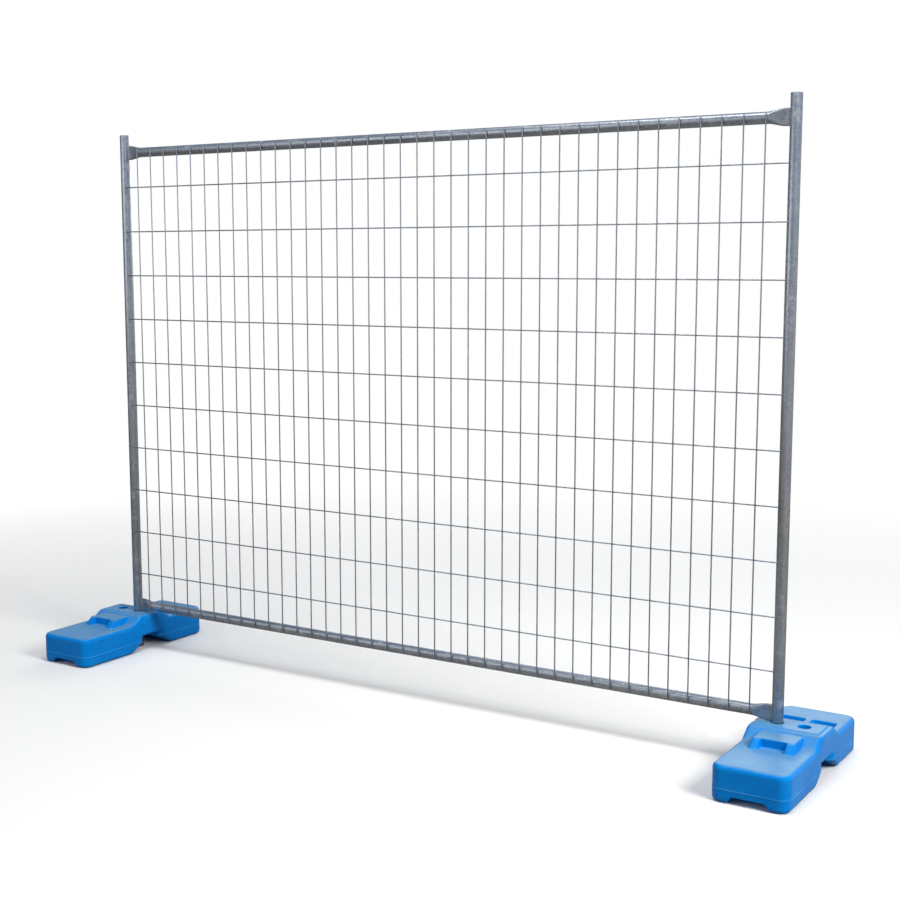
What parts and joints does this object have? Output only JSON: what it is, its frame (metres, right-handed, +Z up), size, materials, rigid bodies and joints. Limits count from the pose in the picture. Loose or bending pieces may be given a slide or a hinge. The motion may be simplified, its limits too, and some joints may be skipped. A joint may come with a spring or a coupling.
{
  "type": "temporary fence panel",
  "caption": "Free-standing site fence panel: galvanised tube frame with welded wire mesh, its legs standing in moulded ballast feet that swivel on them.",
  "frame": {"origin": "on the ground, midway between the two feet and at the middle of their length", "axes": "+X along the rails, -Y towards the mesh side and the feet's longer ends, +Z up the posts"},
  "size_m": [2.653, 0.586, 1.8],
  "materials": {
    "galvanised_tube": "galvanised zinc",
    "mesh_wire": "galvanised zinc wire",
    "foot_plastic": "blow-moulded polyethylene",
    "concrete": "cast",
    "plug_plastic": "moulded"
  },
  "bodies": {
    "panel": {"left_post": "galvanised_tube", "right_post": "galvanised_tube", "bottom_rail": "galvanised_tube", "top_rail": "galvanised_tube", "line_wire_1": "mesh_wire", "line_wire_2": "mesh_wire", "line_wire_3": "mesh_wire", "line_wire_4": "mesh_wire", "line_wire_5": "mesh_wire", "line_wire_6": "mesh_wire", "line_wire_7": "mesh_wire", "line_wire_8": "mesh_wire", "line_wire_9": "mesh_wire", "line_wire_10": "mesh_wire", "line_wire_11": "mesh_wire", "line_wire_12": "mesh_wire", "line_wire_13": "mesh_wire", "line_wire_14": "mesh_wire", "line_wire_15": "mesh_wire", "line_wire_16": "mesh_wire", "line_wire_17": "mesh_wire", "line_wire_18": "mesh_wire", "line_wire_19": "mesh_wire", "line_wire_20": "mesh_wire", "line_wire_21": "mesh_wire", "line_wire_22": "mesh_wire", "line_wire_23": "mesh_wire", "line_wire_24": "mesh_wire", "line_wire_25": "mesh_wire", "line_wire_26": "mesh_wire", "line_wire_27": "mesh_wire", "line_wire_28": "mesh_wire", "line_wire_29": "mesh_wire", "line_wire_30": "mesh_wire", "line_wire_31": "mesh_wire", "line_wire_32": "mesh_wire", "line_wire_33": "mesh_wire", "line_wire_34": "mesh_wire", "line_wire_35": "mesh_wire", "line_wire_36": "mesh_wire", "line_wire_37": "mesh_wire", "line_wire_38": "mesh_wire", "cross_wire_1": "mesh_wire", "cross_wire_2": "mesh_wire", "cross_wire_3": "mesh_wire", "cross_wire_4": "mesh_wire", "cross_wire_5": "mesh_wire", "cross_wire_6": "mesh_wire", "cross_wire_7": "mesh_wire", "cross_wire_8": "mesh_wire", "cross_wire_9": "mesh_wire", "cross_wire_10": "mesh_wire"},
    "left_foot": {"left_foot_shell": "foot_plastic", "left_foot_ballast": "concrete", "left_foot_plug": "plug_plastic"},
    "right_foot": {"right_foot_shell": "foot_plastic", "right_foot_ballast": "concrete", "right_foot_plug": "plug_plastic"}
  },
  "joints": [
    {"name": "left_foot_swivel", "type": "hinge", "parent": "panel", "child": "left_foot", "pos_m": [-1.184, 0.029, 0], "axis": [0, 0, 1], "continuous": true},
    {"name": "right_foot_swivel", "type": "hinge", "parent": "panel", "child": "right_foot", "pos_m": [1.184, 0.029, 0], "axis": [0, 0, 1], "continuous": true}
  ]
}
